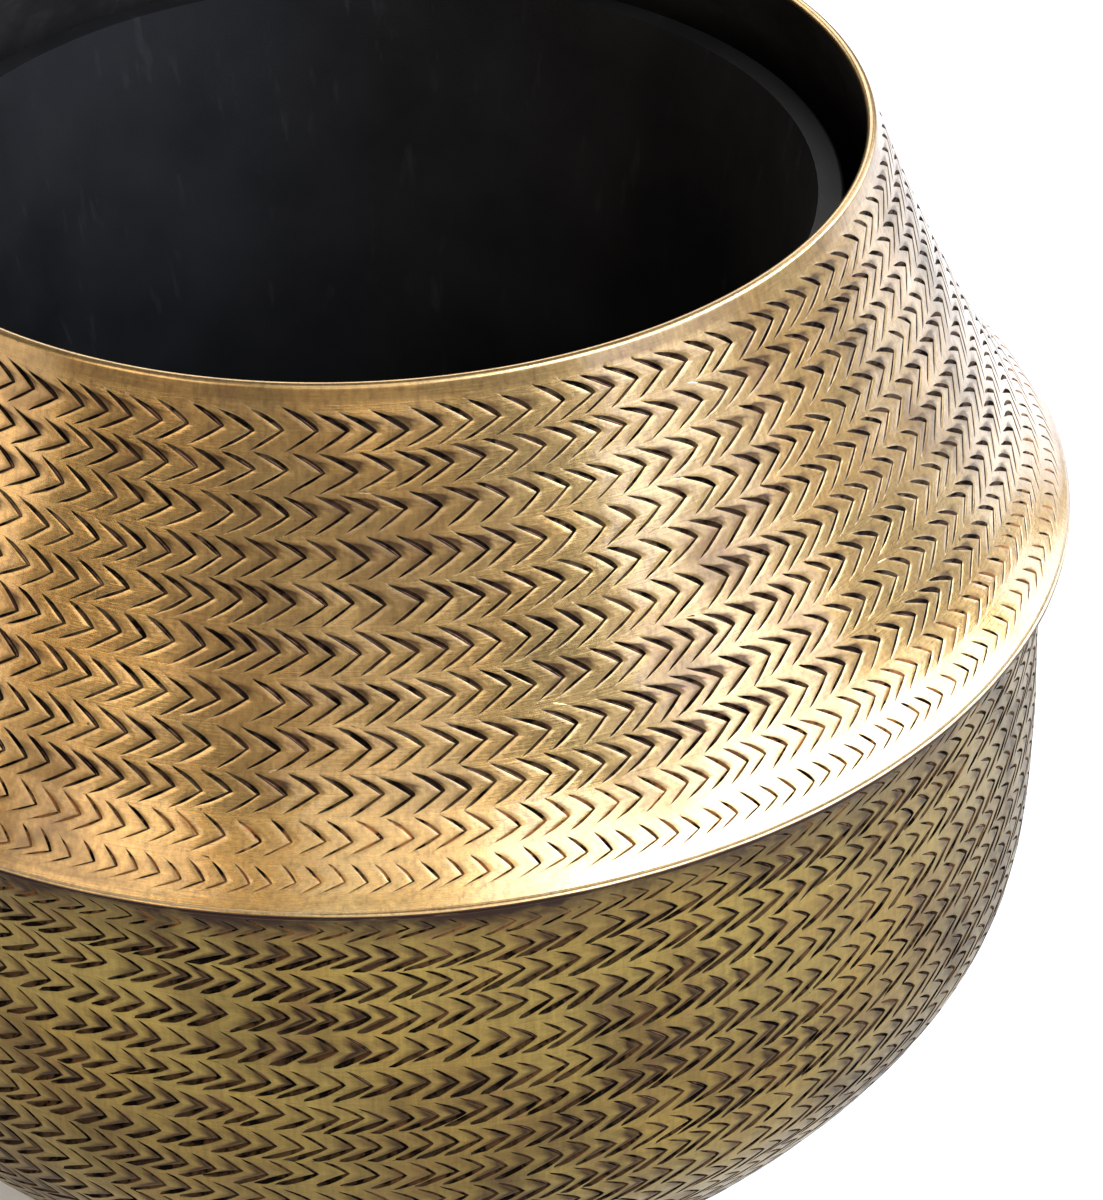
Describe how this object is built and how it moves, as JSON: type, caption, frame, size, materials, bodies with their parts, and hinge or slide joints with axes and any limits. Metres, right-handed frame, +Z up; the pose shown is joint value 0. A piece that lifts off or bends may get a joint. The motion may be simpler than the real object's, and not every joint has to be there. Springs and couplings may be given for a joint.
{
  "type": "planter pot",
  "caption": "Round sheet-brass planter pot: bell-shaped collar with a wired rim brazed to a round-bottomed bowl at a sharp shoulder, with a lift-out liner.",
  "frame": {"origin": "on the pot's axis, on the surface that the pads stand on", "axes": "+Z up along the pot's axis; the front of the chiselled pattern faces -Y, with +X to the right"},
  "size_m": [0.5, 0.5, 0.42],
  "materials": {
    "collar_brass": "aged, hand-brushed, with dark patina in the chisel marks",
    "bowl_brass": "aged and darkened, with dark patina in the chisel marks",
    "wire_steel": "drawn wire",
    "braze_alloy": "as flowed, dull",
    "liner_plastic": "matt moulded",
    "pad_felt": "pressed felt"
  },
  "bodies": {
    "pot": {"collar_shell": "collar_brass", "rim_wire": "wire_steel", "bowl_shell": "bowl_brass", "shoulder_braze": "braze_alloy", "foot_pads": "pad_felt"},
    "liner": {"liner": "liner_plastic"}
  },
  "joints": [
    {"name": "liner_lift", "type": "slide", "parent": "pot", "child": "liner", "axis": [0, 0, 1], "range_m": [0, 0.43]}
  ]
}
